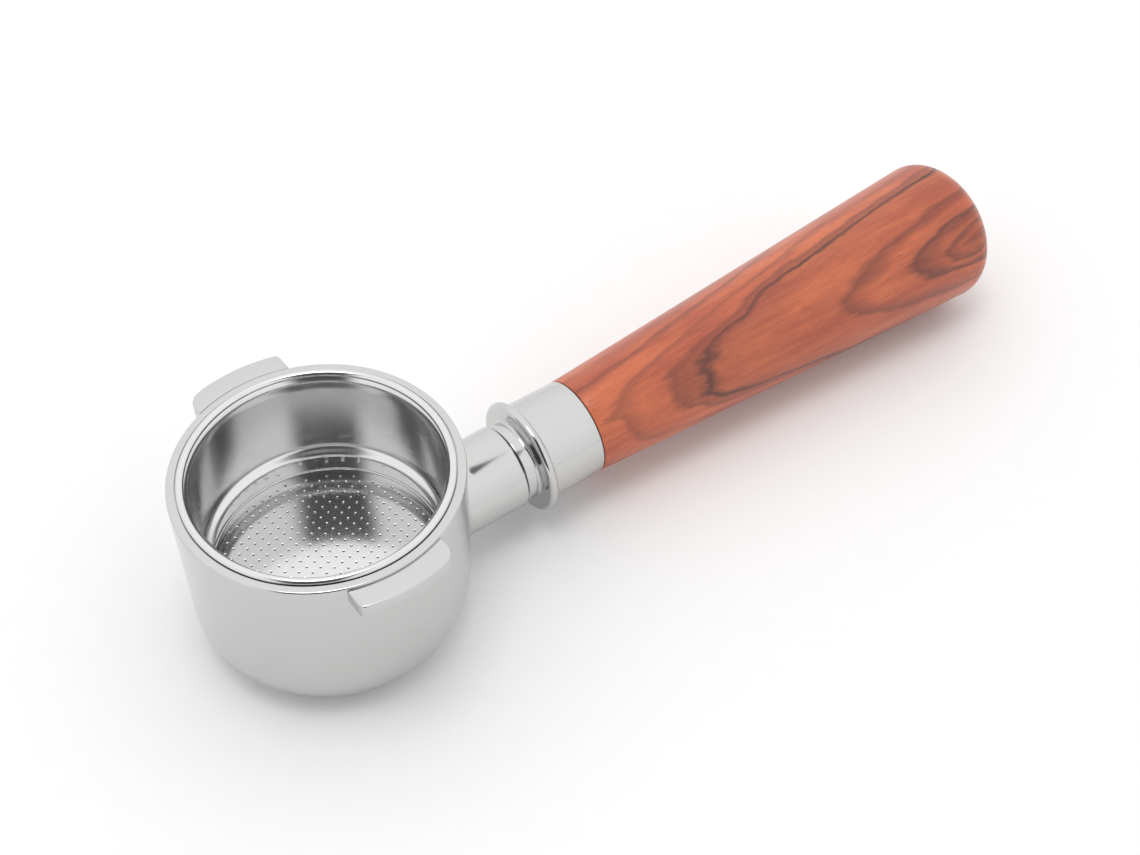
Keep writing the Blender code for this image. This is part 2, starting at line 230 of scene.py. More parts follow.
class Signal:  # a shader socket that can be used in sums and products
    def __init__(self, finish, socket):
        self.finish = finish
        self.socket = socket

    def math(self, operation, first, second=None, clamp=False):
        inputs = {0: first} if second is None else {0: first, 1: second}
        return self.finish.node("ShaderNodeMath", {"operation": operation, "use_clamp": clamp}, inputs)

    def __add__(self, other):
        return self.math("ADD", self, other)

    def __sub__(self, other):
        return self.math("SUBTRACT", self, other)

    def __rsub__(self, other):
        return self.math("SUBTRACT", other, self)

    def __mul__(self, other):
        return self.math("MULTIPLY", self, other)

    def __truediv__(self, other):
        return self.math("DIVIDE", self, other)

    __radd__ = __add__
    __rmul__ = __mul__

    def clamped(self):
        return self.math("ADD", self, 0.0, clamp=True)

    def root(self):
        return self.math("SQRT", self)

    def size(self):
        return self.math("ABSOLUTE", self)


class Finish:  # one material, or the world, and its nodes
    def __init__(self, name, owner=None):
        self.owner = owner or bpy.data.materials.new(name)
        self.owner.use_nodes = True
        self.tree = self.owner.node_tree
        if owner is None:
            self.shader = self.tree.nodes["Principled BSDF"]

    def node(self, kind, settings=None, inputs=None, output=0):
        made = self.tree.nodes.new(kind)
        for name, value in (settings or {}).items():
            if name == "stops":
                self.setStops(made.color_ramp, value)
            else:
                setattr(made, name, value)
        for name, value in (inputs or {}).items():
            self.feed(made.inputs[name], value)
        return Signal(self, made.outputs[output])

    def feed(self, socket, value):
        if isinstance(value, Signal):
            self.tree.links.new(value.socket, socket)
        else:
            socket.default_value = value

    def setStops(self, ramp, stops):
        while len(ramp.elements) < len(stops):
            ramp.elements.new(1.0)
        for element, (place, colour) in zip(ramp.elements, stops):
            element.position = place
            element.color = (*colour, 1)

    def surface(self, **values):
        names = {"colour": "Base Color", "roughness": "Roughness", "metallic": "Metallic",
                 "normal": "Normal", "coat": "Coat Weight", "coatRoughness": "Coat Roughness"}
        for name, value in values.items():
            self.feed(self.shader.inputs[names[name]], value)
        return self.owner

    def objectPlace(self, location=(0, 0, 0), rotation=(0, 0, 0), scale=(1, 1, 1)):
        place = self.node("ShaderNodeTexCoord", output="Object")
        return self.node("ShaderNodeMapping", {}, {"Vector": place, "Location": location,
                                                   "Rotation": rotation, "Scale": scale})

    def split(self, vector):
        made = self.node("ShaderNodeSeparateXYZ", {}, {0: vector}).socket.node
        return [Signal(self, made.outputs[index]) for index in range(3)]

    def dot(self, vector, other):
        return self.node("ShaderNodeVectorMath", {"operation": "DOT_PRODUCT"},
                         {0: vector, 1: other}, output="Value")

    def noise(self, vector, scale, detail=2.0, roughness=0.5):
        return self.node("ShaderNodeTexNoise", {}, {"Vector": vector, "Scale": scale, "Detail": detail,
                                                    "Roughness": roughness})

    def ramp(self, value, stops):
        return self.node("ShaderNodeValToRGB", {"stops": stops}, {0: value})

    def step(self, value, low, high):  # 0 below low, 1 above high
        return self.node("ShaderNodeMapRange", {"interpolation_type": "SMOOTHSTEP"},
                         {"Value": value, "From Min": low, "From Max": high})

    def blend(self, factor, first, second):
        return self.node("ShaderNodeMix", {"data_type": "RGBA"}, {0: factor, 6: first, 7: second}, output=2)

    def bump(self, height, distance, strength=1.0):
        return self.node("ShaderNodeBump", {}, {"Height": height, "Distance": distance,
                                                "Strength": strength})


studio = {
    "floorColour": (0.93, 0.93, 0.93, 1), "floorFleck": (0.91, 0.91, 0.91, 1),
    "tentBrightness": 1.12,
    "slitBrightness": 0.09,
    "slitHeading": -128,          # degrees round from the handle, where the tent opens for the camera
    "slitHalfWidth": (0.27, 0.45),  # where the dark starts to fade and where it ends
    "slitTop": (0.90, 0.98), "slitBottom": (-0.02, 0.10), "slitFront": (0.05, 0.25),
    "holeStart": 0.298, "holeTip": 0.318,   # a small drop-shaped second opening, high over the neck
    "holeFlare": 13.0, "holeLean": -0.13, "holeHeight": (0.3, 0.5),
    "holeSoft": 0.012, "holeStartSoft": 0.004,   # how softly its sides and its round end fade
    "fall": (-0.2, 0.9), "fallLow": 0.92, "fallRise": 0.14,   # the tent is a little darker low down
    "keyPower": 1.3, "keySize": 0.38, "keyPlace": (-0.08, -0.04, 0.85), "keyAim": (0.02, 0, 0),
}


def makeFloor():
    deselectAll()
    bpy.ops.mesh.primitive_circle_add(vertices=96, radius=4.0, fill_type="NGON",
                                      location=(0, 0, counterHeight - 0.05 * mm))
    floor = bpy.context.object
    floor.name = "floor"
    paper = Finish("paper")
    grain = paper.noise(paper.objectPlace(), 180.0, 3.0)
    tone = paper.blend(grain, studio["floorFleck"], studio["floorColour"])
    floor.data.materials.append(paper.surface(colour=tone, roughness=0.9))


def makeTent():
    world = bpy.data.worlds.new("tent")
    bpy.context.scene.world = world
    sky = Finish("tent", world)
    direction = sky.node("ShaderNodeTexCoord", output="Generated")
    heading = math.radians(studio["slitHeading"])
    front = sky.dot(direction, (math.cos(heading), math.sin(heading), 0))
    side = sky.dot(direction, (-math.sin(heading), math.cos(heading), 0)).size()
    along, _, up = sky.split(direction)
    slit = (1 - sky.step(side, *studio["slitHalfWidth"])) * sky.step(front, *studio["slitFront"])
    slit = slit * (1 - sky.step(up, *studio["slitTop"])) * sky.step(up, *studio["slitBottom"])
    across = sky.dot(direction, (0, 1, -studio["holeLean"])).size()
    taper = (studio["holeTip"] - along) * studio["holeFlare"] - across
    start, soft, startSoft = studio["holeStart"], studio["holeSoft"], studio["holeStartSoft"]
    hole = sky.step(taper, -soft, soft) * sky.step(along, start - startSoft, start + startSoft)
    hole = hole * sky.step(up, *studio["holeHeight"])
    opening = (slit + hole).clamped()
    fall = sky.step(up, *studio["fall"])
    panel = studio["tentBrightness"] * (studio["fallLow"] + fall * studio["fallRise"])
    brightness = panel * (1 - opening) + opening * studio["slitBrightness"]
    background = world.node_tree.nodes["Background"]
    sky.feed(background.inputs["Color"], (1, 1, 1, 1))
    sky.feed(background.inputs["Strength"], brightness)


def makeKeyLight():
    light = bpy.data.lights.new("key", "AREA")
    light.shape = "DISK"
    light.size = studio["keySize"]
    light.energy = studio["keyPower"]
    key = bpy.data.objects.new("key", light)
    bpy.context.scene.collection.objects.link(key)
    key.location = studio["keyPlace"]
    aim = Vector(studio["keyAim"]) - key.location
    key.rotation_euler = aim.to_track_quat("-Z", "Y").to_euler()


makeFloor()
makeTent()
makeKeyLight()
bpy.context.scene.view_settings.view_transform = "Standard"
print("studio ready")


# The cast ring with its neck and lugs, sizes in mm
ring = {
    "topRadius": 29.25, "footRadius": 28.8, "height": 43.0,
    "curve": 14.6, "trim": 2.3, "wall": 2.6, "outlet": 20.0,
    "seatRadius": 27.6, "seatDrop": 0.74, "bore": 26.3,
    "grooveRadius": 27.2, "grooveDrop": 21.8, "grooveHalf": 0.8,
    "rimEdge": 0.42, "footEdge": 0.35,
    "steps": 224,
}
neck = {
    "radius": 9.55, "end": 43.6, "fillet": 2.1, "filletStart": 0.83, "overlap": -2.0, "edge": 0.5,
    "polishFrom": 28.9, "polishTo": 29.5, "polish": 0.11,   # the neck is polished brighter than the ring
    "steps": 128,
}
lug = {
    "reach": 34.0, "width": 21.0, "thickness": 3.5, "drop": 0.5,
    "turn": 1.5, "squareCorner": 1.0, "roundCorner": 2.6, "edge": 0.35, "start": 25.5, "outside": 28,
    "rootRadius": 29.32, "rootGroove": 0.25,   # a fine line turned where the lugs leave the ring
}
thread = {
    "radius": 5.0, "depth": 0.85, "pitch": 1.5, "socketDepth": 13.3, "clearance": 0.12,
    "lead": 1.37,   # turns made before the start, so that no tooth's edge lies on the cut
    "steps": 40,
}


def footPoints(radius, outer):  # the curved foot, from where the wall ends down to its cut
    curve = ring["curve"] if outer else ring["curve"] - ring["wall"]
    centre = (radius - curve, ring["curve"] - ring["height"] - ring["trim"])
    if outer:
        sweep = math.degrees(math.asin((ring["height"] + centre[1]) / curve))
    else:
        sweep = math.degrees(math.acos((ring["outlet"] - centre[0]) / curve))
    return arc(centre, curve, 0, -sweep, 14)


def wallRadius(height):  # outside of the ring at a height, in mm
    footTop = ring["curve"] - ring["height"] - ring["trim"]
    if height > footTop:
        return ring["topRadius"] - (ring["topRadius"] - ring["footRadius"]) * height / footTop
    drop = footTop - height
    return ring["footRadius"] - ring["curve"] + math.sqrt(max(0, ring["curve"] ** 2 - drop ** 2))


def makeRingBlank():
    topLoop, footLoop = 20, 18   # both lie where the hollow is cut later
    foot = footPoints(ring["footRadius"], True)
    profile = [(0, 0), (topLoop, 0), (ring["topRadius"], 0)]
    profile += line((ring["topRadius"], 0), foot[0], 14) + foot[1:]
    profile += [(footLoop, -ring["height"]), (0, -ring["height"])]
    blank = turn("portafilterBody", profile, ring["steps"])
    roundLoops(blank, [(ring["topRadius"], 0, ring["rimEdge"], 4),
                       (foot[-1][0], foot[-1][1], ring["footEdge"], 3)])
    return blank


def makeHollow():
    past, groove = 3.0, ring["grooveDrop"]   # the cut runs past the ring at both ends
    foot = footPoints(ring["bore"], False)
    profile = [(0, past), (ring["seatRadius"], past), (ring["seatRadius"], -ring["seatDrop"]),
               (ring["bore"], -ring["seatDrop"])]
    profile += line(profile[-1], (ring["bore"], -groove + ring["grooveHalf"]), 8)
    profile += [(ring["grooveRadius"], -groove + ring["grooveHalf"]),
                (ring["grooveRadius"], -groove - ring["grooveHalf"]),
                (ring["bore"], -groove - ring["grooveHalf"])]
    profile += foot + [(ring["outlet"], -ring["height"] - past), (0, -ring["height"] - past)]
    return turn("hollow", profile, ring["steps"])


def makeNeck():
    # A tube whose root flares out to meet the ring's wall all round
    fillet, radius = neck["fillet"], neck["radius"]
    base = 20   # the blank's root loops stand 1 mm apart from here, then each is put onto the wall
    flare = [(radius + fillet * neck["filletStart"], neck["overlap"])]
    for degrees in range(80, -1, -10):
        angle = math.radians(degrees)
        flare.append((radius + fillet * (1 - math.cos(angle)), fillet * (1 - math.sin(angle))))
    start = ring["topRadius"] + fillet
    profile = [(0, base), (radius, base)] + [(radius, base + 1 + step) for step in range(len(flare) - 1)]
    straight = line((radius, start + 0.5), (radius, neck["end"]), 9)
    profile += straight + [(0, neck["end"])]
    tube = turn("neckBlank", profile, neck["steps"])
    roundLoops(tube, [(radius, neck["end"], neck["edge"], 4)])
    ontoHandle(tube)
    tilted = Euler((0, math.pi / 2 - handleTilt, 0)).to_matrix().to_4x4()
    fromHandle = Matrix.Translation(handleStart) @ tilted
    toHandle = fromHandle.inverted()
    for vert in tube.data.vertices:
        local = (toHandle @ vert.co) / mm
        level = round(local.z) - base
        offLevel = abs(local.z - round(local.z)) > 0.01
        reach = math.hypot(local.x, local.y)
        if not 0 <= level < len(flare) or offLevel or reach < 0.1:
            continue
        wanted, gap = flare[level]
        side = Vector((local.x, local.y, 0)) / reach * wanted
        along = start
        for _ in range(8):   # closes in on the wall
            place = (fromHandle @ ((side + Vector((0, 0, along))) * mm)) / mm
            wall = math.sqrt(max(0, wallRadius(place.z) ** 2 - place.y ** 2))
            along += (wall + gap - place.x) / handleAxis.x
        vert.co = fromHandle @ ((side + Vector((0, 0, along))) * mm)
    return tube


def makeLug(turnDegrees):
    deselectAll()
    half, reach = lug["width"] / 2, lug["reach"]
    middle = -lug["drop"] - lug["thickness"] / 2
    bpy.ops.mesh.primitive_cylinder_add(vertices=360, radius=reach * mm, depth=lug["thickness"] * mm,
                                        location=(0, 0, middle * mm))
    piece = bpy.context.object
    bpy.ops.object.transform_apply(location=True)
    bpy.ops.object.mode_set(mode="EDIT")
    cuts = [((lug["start"], 0, 0), (1, 0, 0)), ((0, -half, 0), (0, 1, 0)), ((0, half, 0), (0, -1, 0))]
    for place, normal in cuts:
        bpy.ops.mesh.select_all(action="SELECT")
        bpy.ops.mesh.bisect(plane_co=Vector(place) * mm, plane_no=normal, use_fill=True, clear_inner=True)
    for side, width in ((-1, lug["squareCorner"]), (1, lug["roundCorner"])):
        def upright(edge, nearest, furthest):  # an outer upright edge this far in from the lug's end
            outer = [vert for vert in edge.verts if vert.co.x > lug["outside"] * mm]
            inward = [half - side * vert.co.y / mm for vert in outer]
            rise = abs(edge.verts[0].co.z - edge.verts[1].co.z)
            return len(inward) == 2 and rise > 1 * mm and all(nearest < gap < furthest for gap in inward)
        # The arc's own facets next to the corner go first, so the rounding has room
        selectEdges(piece, lambda edge: upright(edge, 0.02, width * 1.25 + 0.3))
        bpy.ops.mesh.dissolve_edges(use_verts=True)
        selectEdges(piece, lambda edge: upright(edge, -0.02, 0.02))
        bpy.ops.mesh.bevel(offset=width * mm, segments=6, affect="EDGES")
    bpy.ops.mesh.select_all(action="DESELECT")
    bpy.ops.mesh.edges_select_sharp(sharpness=math.radians(60))
    bpy.ops.mesh.bevel(offset=lug["edge"] * mm, segments=3, affect="EDGES")
    bpy.ops.object.mode_set(mode="OBJECT")
    piece.rotation_euler = (0, 0, math.radians(turnDegrees))
    applyPlace(piece)
    return piece


def makeThread(name, start, end, grow=0.0):
    # A threaded rod along Z: one tooth's outline is screwed up past both ends, which are then cut square
    pitch, outer = thread["pitch"], thread["radius"] + grow
    drawnPitch = 1.5   # mm, the pitch that the tooth is drawn at
    inner = outer - thread["depth"]
    turns = int((end - start) / pitch) + 3
    deselectAll()
    bpy.ops.mesh.primitive_plane_add(size=1)
    rod = bpy.context.object
    rod.name = name
    shape = bmesh.new()
    tooth = [(inner, 0.0), (inner, 0.12), (outer, 0.62), (outer, 0.82), (inner, 1.32), (inner, drawnPitch)]
    bottom = start - thread["lead"] * pitch
    corners = [shape.verts.new((radius * mm, 0, (bottom + rise * pitch / drawnPitch) * mm))
               for radius, rise in tooth]
    for first, second in zip(corners, corners[1:]):
        shape.edges.new((first, second))
    shape.to_mesh(rod.data)
    shape.free()
    screw = rod.modifiers.new("screw", "SCREW")
    screw.screw_offset = pitch * mm
    screw.iterations = turns
    screw.steps = screw.render_steps = thread["steps"]
    screw.use_merge_vertices = False
    applyModifier(rod, screw)
    bpy.ops.object.mode_set(mode="EDIT")
    bpy.ops.mesh.select_all(action="SELECT")
    bpy.ops.mesh.remove_doubles(threshold=0.001 * mm)
    for height, normal in ((start, (0, 0, 1)), (end, (0, 0, -1))):
        bpy.ops.mesh.select_all(action="SELECT")
        bpy.ops.mesh.bisect(plane_co=(0, 0, height * mm), plane_no=normal, use_fill=True, clear_inner=True)
    bpy.ops.mesh.select_all(action="SELECT")
    bpy.ops.mesh.normals_make_consistent(inside=False)
    if bmesh.from_edit_mesh(rod.data).calc_volume(signed=True) < 0:
        bpy.ops.mesh.flip_normals()
    bpy.ops.object.mode_set(mode="OBJECT")
    return rod


def makeChromeFinish(name, roughness, ripple):
    colour, fade = (0.59, 0.59, 0.585), 0.965
    chrome = Finish(name)
    place = chrome.objectPlace()
    cloud = chrome.noise(place, 90.0, 3.0)
    fine = chrome.noise(place, 1400.0, 2.0)
    speck = chrome.noise(place, 5200.0, 1.0)
    shade = tuple(value * fade for value in colour)
    tone = chrome.blend(cloud, (*shade, 1), (*colour, 1))
    rough = roughness + (cloud - 0.5) * 0.05 + (speck - 0.5) * 0.06
    height = fine * 0.6 + cloud * 2.0
    return chrome, dict(colour=tone, roughness=rough, metallic=1.0, normal=chrome.bump(height, ripple * mm))


def makeBodyPiece():
    body = makeRingBlank()
    for side in (90, -90):
        boolean(body, makeLug(side + lug["turn"]), "UNION")
    root, groove, above = lug["rootRadius"], lug["rootGroove"], 0.1
    rootCut = [(root, -lug["drop"] + above), (root + groove, -lug["drop"] + above),
               (root + groove, -lug["drop"] - groove), (root, -lug["drop"] - groove)]
    boolean(body, turn("rootCut", rootCut, ring["steps"]), "DIFFERENCE")
    boolean(body, makeNeck(), "UNION")
    boolean(body, makeHollow(), "DIFFERENCE")
    end, past = neck["end"], 2
    socket = makeThread("socket", end - thread["socketDepth"], end + past, thread["clearance"])
    ontoHandle(socket)
    boolean(body, socket, "DIFFERENCE")
    chrome, surface = makeChromeFinish("satinChrome", 0.17, 0.0012)
    along = chrome.split(chrome.objectPlace())[0]
    polished = chrome.step(along, neck["polishFrom"] * mm, neck["polishTo"] * mm)
    surface["roughness"] = surface["roughness"] - polished * neck["polish"]
    finishMesh(body, chrome.surface(**surface))
    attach(body, "ring")
    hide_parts("portafilter_body")


makeBodyPiece()
print("body made")


# The filter basket, sizes in mm
basket = {
    "mouthRadius": 25.7, "wallTop": 25.3, "wallBottom": 24.3, "depth": 27.6, "sheet": 0.6,
    "lipWidth": 1.68, "lipRise": 0.795, "lipDrop": 0.7,
    "beadDrop": 1.1, "bead": 0.22, "beadWidth": 0.7,
    "ridgeDrop": 21.8, "ridgeDepth": 1.7, "ridgeHalf": 1.7,
    "corner": 0.4, "floorLoop": 12,
    "holeRadius": 0.18, "holeDimple": 0.37, "holePitch": 2.02,
    "dimpleDepth": 0.05, "dimpleRise": 0.012, "punchAbove": 0.6, "punchBelow": 2,
    "holeTurn": 8.13, "holeCentre": (-0.72, -0.53), "holeField": 22.6,
    "steps": 224,
}


def basketWall(height):  # inside radius of the wall
    share = -height / basket["depth"]
    radius = basket["wallTop"] + (basket["wallBottom"] - basket["wallTop"]) * share
    across = (height + basket["ridgeDrop"]) / basket["ridgeHalf"]
    if abs(across) < 1:
        radius -= basket["ridgeDepth"] * (1 + math.cos(math.pi * across)) / 2
    lift = (height + basket["beadDrop"]) / basket["beadWidth"]
    return radius - basket["bead"] * math.exp(-lift * lift)


def makeBasketPiece():
    sheet, depth, corner = basket["sheet"], basket["depth"], basket["corner"]
    roll = basket["lipWidth"] / 2
    lipOuter = basket["mouthRadius"] + basket["lipWidth"]
    # Heights of the loops down the wall, close together by the bead and the ridge
    heights = [-0.7, -1.1, -1.5, -2.2, -3.5] + [-5.5 - 2.0 * step for step in range(7)] + [-19.2]
    ridgeSteps = 14
    heights += [-basket["ridgeDrop"] + basket["ridgeHalf"] * (1 - 2 * step / ridgeSteps)
                for step in range(ridgeSteps + 1)]
    heights += [-24.6, -25.6]
    inside = [(basketWall(height), height) for height in heights]
    underLip = -basket["lipDrop"] - 0.2
    outside = [(radius + sheet, height) for radius, height in inside[::-1] if height < underLip]
    bottomRadius = basketWall(-depth)
    lip = arc((lipOuter - roll, basket["lipRise"] - roll), roll, 0, 180, 12)
    cornerIn = arc((bottomRadius - corner, -depth + corner), corner, 0, -90, 6)
    cornerOut = arc((bottomRadius - corner, -depth + corner), corner + sheet, -90, 0, 6)
    profile = [(0, -depth - sheet)] + cornerOut + outside
    profile += [(outside[-1][0], -basket["lipDrop"]), (lipOuter, -basket["lipDrop"])]
    profile += lip + inside + cornerIn + [(basket["floorLoop"], -depth), (0, -depth)]
    piece = turn("filterBasket", profile, basket["steps"])
    boolean(piece, makeHoles(), "DIFFERENCE")
    editMesh(piece)
    near = 0.004 * mm
    selectEdges(piece, lambda edge: all(abs(vert.co.z + depth * mm) < near for vert in edge.verts))
    bpy.ops.mesh.mark_sharp()
    bpy.ops.object.mode_set(mode="OBJECT")
    finishMesh(piece, makeBasketFinish())
    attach(piece, "basket")
    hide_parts("filter_basket")


def makeHoles():  # one punch, repeated on a square lattice and trimmed to a round field
    depth, small, wide = basket["depth"], basket["holeRadius"], basket["holeDimple"]
    below, above = -depth - basket["punchBelow"], -depth + basket["punchAbove"]
    profile = [(0, below), (small, below), (small, -depth - basket["dimpleDepth"]),
               (wide, -depth + basket["dimpleRise"]), (wide, above), (0, above)]
    punch = turn("punch", profile, 10)
    pitch = basket["holePitch"]
    count = 2 * int(basket["holeField"] / pitch) + 3
    for axis in (0, 1):
        array = punch.modifiers.new("row", "ARRAY")
        array.count = count
        array.use_relative_offset = False
        array.use_constant_offset = True
        offset = [0, 0, 0]
        offset[axis] = pitch * mm
        array.constant_offset_displace = offset
        applyModifier(punch, array)
    back = -(count - 1) / 2 * pitch * mm
    centre = Vector((*basket["holeCentre"], 0)) * mm
    turned = Quaternion((0, 0, 1), math.radians(basket["holeTurn"]))
    punch.location = centre + turned @ Vector((back, back, 0))
    punch.rotation_euler = turned.to_euler()
    applyPlace(punch)
    shape = bmesh.new()
    shape.from_mesh(punch.data)
    shape.verts.ensure_lookup_table()
    perPunch = len(shape.verts) // (count * count)
    spare = []
    for first in range(0, len(shape.verts), perPunch):
        group = shape.verts[first:first + perPunch]
        middle = sum((vert.co for vert in group), Vector()) / perPunch
        if math.hypot(middle.x, middle.y) > basket["holeField"] * mm:
            spare += list(group)
    bmesh.ops.delete(shape, geom=spare, context="VERTS")
    shape.to_mesh(punch.data)
    shape.free()
    return punch


def makeBasketFinish():
    steel = Finish("pressedSteel")
    place = steel.objectPlace()
    up = steel.split(place)[2]
    onFloor = 1 - steel.step(up, -27.4 * mm, -26.4 * mm)
    cloud = steel.noise(place, 120.0, 2.0)
    drawn = steel.noise(steel.objectPlace(scale=(1, 1, 0.04)), 900.0, 2.0)   # streaks up the wall
    slant = steel.objectPlace(rotation=(0, 0, math.radians(50)), scale=(1, 0.3, 1))
    dents = steel.noise(slant, 330.0, 2.0, 0.45)
    rough = 0.17 - onFloor * 0.02 + (drawn - 0.5) * 0.06 + (cloud - 0.5) * 0.04
    tone = steel.blend(cloud, (0.66, 0.66, 0.665, 1), (0.72, 0.72, 0.72, 1))
    height = (1 - onFloor) * drawn * 0.25 + onFloor * dents * 2.2 + cloud * 0.8
    normal = steel.bump(height, 0.004 * mm)
    return steel.surface(colour=tone, roughness=rough, metallic=1.0, normal=normal)


makeBasketPiece()
print("basket made")


# Ferrule, washer and stud, in mm along the handle from its start
ferrule = {
    "start": 43.9, "hubRadius": 8.9, "hubLength": 3.0, "flangeRadius": 13.0, "flangeThickness": 2.2,
    "sleeveFront": 11.4, "sleeveRear": 11.1, "end": 62.12, "fillet": 0.7,
    "bore": 5.3, "pocketRadius": 9.5, "pocketFloor": 53.0, "edge": 0.12, "hubEdge": 0.25,
    "steps": 192,
}
washer = {"inner": 9.5, "outer": 10.95, "start": 62.13, "end": 62.35, "edge": 0.08, "steps": 160}
stud = {"start": 30.6, "end": 73.0}


def makeFerrulePiece():
    flange = ferrule["start"] + ferrule["hubLength"]
    sleeve = flange + ferrule["flangeThickness"]
    hub, wide = ferrule["hubRadius"], ferrule["flangeRadius"]
    fillet, end = ferrule["fillet"], ferrule["end"]
    edge = ferrule["flangeThickness"] / 2
    profile = [(ferrule["bore"], ferrule["start"]), (hub, ferrule["start"])]
    profile += arc((hub + fillet, flange - fillet), fillet, 180, 90, 6)
    profile += arc((wide - edge, flange + edge), edge, -90, 90, 14)
    profile += arc((ferrule["sleeveFront"] + fillet, sleeve + fillet), fillet, -90, -180, 6)
    profile += line(profile[-1], (ferrule["sleeveRear"], end), 5)
    profile += [(ferrule["pocketRadius"], end), (ferrule["pocketRadius"], ferrule["pocketFloor"]),
                (ferrule["bore"], ferrule["pocketFloor"])]
    piece = turn("handleFerrule", profile, ferrule["steps"])
    roundLoops(piece, [(ferrule["sleeveRear"], end, ferrule["edge"], 3),
                       (hub, ferrule["start"], ferrule["hubEdge"], 3)])
    ontoHandle(piece)
    chrome, surface = makeChromeFinish("polishedChrome", 0.07, 0.0005)
    finishMesh(piece, chrome.surface(**surface))
    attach(piece, "ferrule")
    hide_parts("handle_ferrule")


def makeWasherPiece():
    inner, outer = washer["inner"], washer["outer"]
    start, end, edge = washer["start"], washer["end"], washer["edge"]
    outline = [(inner, start), (outer, start), (outer, end), (inner, end)]
    piece = turn("seamWasher", outline, washer["steps"])
    roundLoops(piece, [(outer, start, edge, 2), (outer, end, edge, 2)])
    ontoHandle(piece)
    rubber = Finish("blackRubber")
    dust = rubber.noise(rubber.objectPlace(), 2600.0, 3.0)
    tone = rubber.blend(dust, (0.018, 0.015, 0.014, 1), (0.05, 0.043, 0.04, 1))
    normal = rubber.bump(dust, 0.01 * mm)
    finishMesh(piece, rubber.surface(colour=tone, roughness=0.65 + dust * 0.2, normal=normal))
    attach(piece, "ferrule")
    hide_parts("seam_washer")


def makeStudPiece():
    piece = makeThread("threadedStud", stud["start"], stud["end"])
    ontoHandle(piece)
    zinc = Finish("zincPlate")
    place = zinc.objectPlace()
    cloud = zinc.noise(place, 700.0, 3.0)
    tone = zinc.blend(cloud, (0.50, 0.50, 0.51, 1), (0.66, 0.65, 0.63, 1))
    normal = zinc.bump(zinc.noise(place, 3000.0, 2.0), 0.004 * mm)
    rough = 0.28 + cloud * 0.16
    finishMesh(piece, zinc.surface(colour=tone, roughness=rough, metallic=1.0, normal=normal))
    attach(piece, "grip")
    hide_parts("threaded_stud")


makeFerrulePiece()
makeWasherPiece()
makeStudPiece()


def makeBrassFinish():
    brass = Finish("turnedBrass")
    rings = brass.noise(brass.objectPlace(scale=(1, 0.05, 0.05)), 2500.0, 2.0)
    tone = brass.blend(rings, (0.72, 0.50, 0.20, 1), (0.86, 0.66, 0.32, 1))
    return brass.surface(colour=tone, roughness=0.25 + rings * 0.15, metallic=1.0,
                         normal=brass.bump(rings, 0.01 * mm))


def makeSpringFinish():
    wire = Finish("drawnWire")
    pull = wire.noise(wire.objectPlace(scale=(0.3, 0.3, 1)), 3000.0, 2.0)
    tone = wire.blend(pull, (0.52, 0.52, 0.53, 1), (0.70, 0.70, 0.70, 1))
    return wire.surface(colour=tone, roughness=0.25 + pull * 0.15, metallic=1.0,
                        normal=wire.bump(pull, 0.004 * mm))


def giveFinish(node, material):
    node.data.materials.clear()
    node.data.materials.append(material)


giveFinish(frame["nodes"]["threaded_insert"], makeBrassFinish())
giveFinish(frame["nodes"]["basket_retaining_spring"], makeSpringFinish())
print("metal fittings made")


# The wooden handle, in mm along the handle from its start
wood = {
    "start": 62.37, "end": 176.68, "frontRadius": 11.1, "wideRadius": 17.05,
    "dome": 8.8, "power": 2.2, "domeSteps": 22,
    "tenonRadius": 9.2, "tenonStart": 53.3, "bore": 7.3, "boreFloor": 75.6, "borePoint": 3, "edge": 0.18,
    "steps": 192,
}
grain = {
    "heartTip": (168.0, 16.8), "heartSlope": 0.188,   # where the heart of the tree runs: mm along, mm out
    "heartTurn": 57,                                  # degrees from the top towards the front
    "sway": 9.0, "ragged": 2.4, "span": 50,           # mm that the rings wander, and mm the ramp covers
    "light": (0.63, 0.150, 0.056, 1), "red": (0.43, 0.084, 0.037, 1),
    "dark": (0.085, 0.022, 0.017, 1), "pore": (0.10, 0.028, 0.020, 1),
}


def makeWoodPiece():
    start, end, wide = wood["start"], wood["end"], wood["wideRadius"]
    widest = end - wood["dome"]
    bore, tenon = wood["bore"], wood["tenonRadius"]
    profile = [(0, wood["boreFloor"] + wood["borePoint"]), (bore, wood["boreFloor"]),
               (bore, wood["tenonStart"]), (tenon, wood["tenonStart"]), (tenon, start),
               (wood["frontRadius"], start)]
    profile += line(profile[-1], (wide, widest), 24)
    count, power = wood["domeSteps"], 2 / wood["power"]
    for step in range(1, count):
        angle = math.pi / 2 * step / count
        profile.append((wide * math.cos(angle) ** power, widest + wood["dome"] * math.sin(angle) ** power))
    profile.append((0, end))
    piece = turn("woodHandle", profile, wood["steps"])
    roundLoops(piece, [(wood["frontRadius"], start, wood["edge"], 3)])
    ontoHandle(piece)
    finishMesh(piece, makeRosewood())
    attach(piece, "grip")
    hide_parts("wood_handle")


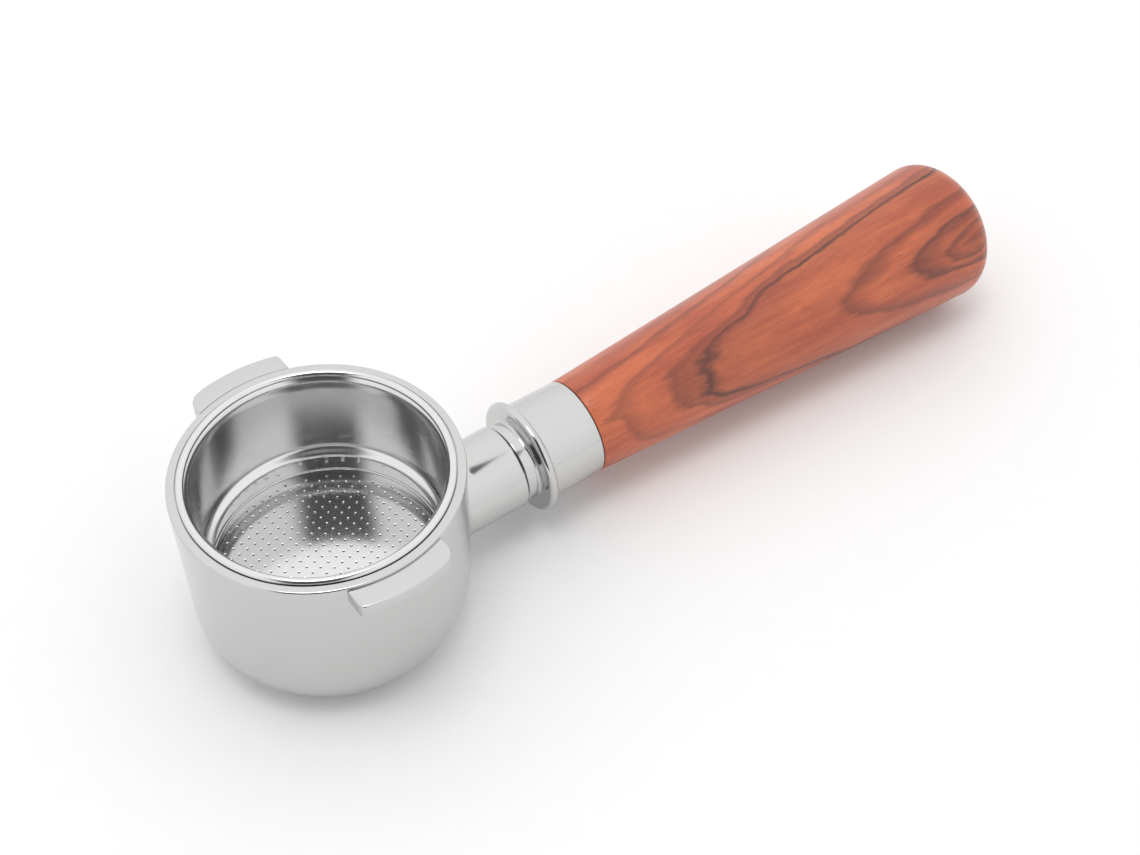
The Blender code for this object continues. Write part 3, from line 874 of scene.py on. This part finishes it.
def makeRosewood():
    rosewood = Finish("rosewood")
    # Handle coordinates: x along the grip in metres, y across, z up
    back = Matrix.Rotation(handleTilt, 3, "Y")
    shift = -(back @ handleStart)
    place = rosewood.objectPlace(location=shift, rotation=(0, handleTilt, 0))
    along, across, up = rosewood.split(place)
    turned = math.radians(grain["heartTurn"])
    heartAlong, heartOut = grain["heartTip"]
    # Distance from the tree's heart, which runs outside the grip and meets it near the end
    heart = heartOut * mm + (heartAlong * mm - along) * grain["heartSlope"]

    def drawnOut(share, scale, detail, roughness):  # noise that is stretched along the grip
        stretched = rosewood.node("ShaderNodeMapping", {}, {"Vector": place, "Scale": (share, 1, 1)})
        return rosewood.noise(stretched, scale, detail, roughness)

    sway = drawnOut(0.35, 62.0, 3.0, 0.55)
    ragged = drawnOut(0.30, 330.0, 3.0, 0.6)
    sideways = across + heart * math.sin(turned)
    upwards = up - heart * math.cos(turned)
    distance = (sideways * sideways + upwards * upwards).root()
    distance = distance + (sway - 0.5) * (grain["sway"] * mm) + (ragged - 0.5) * (grain["ragged"] * mm)
    share = distance / (grain["span"] * mm)
    rings = rosewood.ramp(share, [
        (0.00, (0.55,) * 3), (0.020, (0.15,) * 3), (0.045, (0.75,) * 3), (0.060, (0.15,) * 3),
        (0.095, (0.85,) * 3), (0.110, (0.10,) * 3), (0.155, (0.0,) * 3), (0.205, (0.66,) * 3),
        (0.225, (0.08,) * 3), (0.270, (0.05,) * 3), (0.375, (0.25,) * 3), (0.396, (1.0,) * 3),
        (0.408, (0.40,) * 3), (0.430, (0.60,) * 3), (0.445, (0.06,) * 3), (0.480, (0.02,) * 3),
        (0.515, (0.45,) * 3), (0.525, (0.05,) * 3), (0.590, (0.0,) * 3), (0.625, (0.60,) * 3),
        (0.640, (0.05,) * 3), (0.720, (0.35,) * 3), (0.735, (0.0,) * 3), (0.800, (0.05,) * 3),
        (0.840, (0.7,) * 3), (0.855, (0.1,) * 3), (1.0, (0.1,) * 3)])
    patches = drawnOut(0.16, 170.0, 3.0, 0.6)
    fibres = drawnOut(0.05, 1100.0, 3.0, 0.6)
    pores = drawnOut(0.08, 3600.0, 2.0, 0.5)
    darkness = rings * (0.45 + patches)
    warmth = rosewood.step(patches + (fibres - 0.5) * 0.35, 0.30, 0.68)
    base = rosewood.blend(warmth, grain["red"], grain["light"])
    streaked = rosewood.blend(darkness.clamped(), base, grain["dark"])
    poreMask = rosewood.step(pores, 0.60, 0.74) * 0.45
    colour = rosewood.blend(poreMask, streaked, grain["pore"])
    rough = 0.34 + (fibres - 0.5) * 0.10 + poreMask * 0.25
    normal = rosewood.bump(fibres * 0.5 - poreMask * 1.2, 0.02 * mm, 0.6)
    return rosewood.surface(colour=colour, roughness=rough, metallic=0.0, normal=normal,
                            coat=0.15, coatRoughness=0.22)


makeWoodPiece()
print("wooden handle made")
